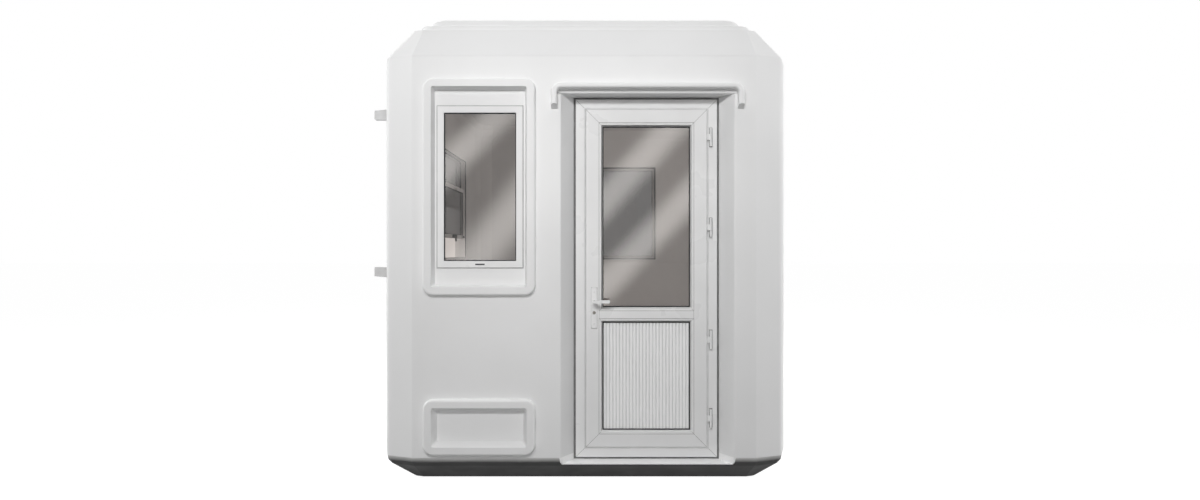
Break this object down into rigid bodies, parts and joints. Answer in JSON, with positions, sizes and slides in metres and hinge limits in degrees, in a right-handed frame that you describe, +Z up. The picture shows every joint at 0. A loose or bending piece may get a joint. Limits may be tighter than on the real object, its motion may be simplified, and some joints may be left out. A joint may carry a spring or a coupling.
{
  "type": "modular cabin",
  "caption": "Hollow white moulded cabin with stepped roof, sloped base skirt, moulded window surrounds, sliding side windows and a hinged half-glazed door with lever handle.",
  "frame": {"origin": "centre of the footprint on the ground", "axes": "+Z up, -Y out of the front with the door, +X to the right seen from the front"},
  "size_m": [2.255, 2.765, 2.478],
  "materials": {
    "white_gelcoat": "moulded glass-fibre laminate with white gelcoat, satin gloss",
    "base_finish": "dark grey gelcoat skirt",
    "white_upvc": "extruded white uPVC, satin",
    "tinted_glass": "bronze tinted float glass",
    "black_seal": "black rubber",
    "white_metal": "white powder-coated aluminium",
    "lock_steel": "nickel-plated brass cylinder, dull",
    "floor_vinyl": "grey sheet vinyl"
  },
  "bodies": {
    "cabin": {"back_blank_panel": "white_gelcoat", "back_wall": "white_gelcoat", "back_window_frame": "white_upvc", "back_window_glass": "tinted_glass", "back_window_surround": "white_gelcoat", "base_tray": "base_finish", "corner_back_left": "white_gelcoat", "corner_back_right": "white_gelcoat", "corner_front_left": "white_gelcoat", "corner_front_right": "white_gelcoat", "door_frame": "white_upvc", "door_frame_seal": "black_seal", "door_reveal_head": "white_gelcoat", "door_reveal_left": "white_gelcoat", "door_reveal_right": "white_gelcoat", "door_sill": "white_gelcoat", "drip_moulding": "white_gelcoat", "floor_deck": "floor_vinyl", "front_blank_panel": "white_gelcoat", "front_wall_head": "white_gelcoat", "front_wall_left": "white_gelcoat", "front_wall_right": "white_gelcoat", "front_window_frame": "white_upvc", "front_window_glass": "tinted_glass", "front_window_surround": "white_gelcoat", "hinge_knuckles_frame": "white_metal", "left_blank_panel": "white_gelcoat", "left_wall": "white_gelcoat", "left_window_frame": "white_upvc", "left_window_glass": "tinted_glass", "left_window_sash": "white_upvc", "left_window_surround": "white_gelcoat", "right_blank_panel": "white_gelcoat", "right_wall": "white_gelcoat", "right_window_frame": "white_upvc", "right_window_glass": "tinted_glass", "right_window_sash": "white_upvc", "right_window_surround": "white_gelcoat", "roof_shell": "white_gelcoat", "side_lugs": "white_gelcoat"},
    "door": {"door_leaf": "white_upvc", "door_glass": "tinted_glass", "door_panel": "white_upvc", "door_beads": "white_upvc", "handle_plate_outside": "white_metal", "handle_plate_inside": "white_metal", "lock_cylinder": "lock_steel", "hinge_knuckles_leaf": "white_metal"},
    "handle": {"handle_levers": "white_metal"}
  },
  "joints": [
    {"name": "door_hinge", "type": "hinge", "parent": "cabin", "child": "door", "pos_m": [0.6635, -1.272, 1.05], "axis": [0, 0, 1], "range_deg": [0, 100]},
    {"name": "handle_turn", "type": "hinge", "parent": "door", "child": "handle", "pos_m": [0.0505, -1.26, 0.941], "axis": [0, 1, 0], "range_deg": [0, 40], "stiffness_Nm_per_rad": 1.2, "springref_deg": -5.73}
  ]
}
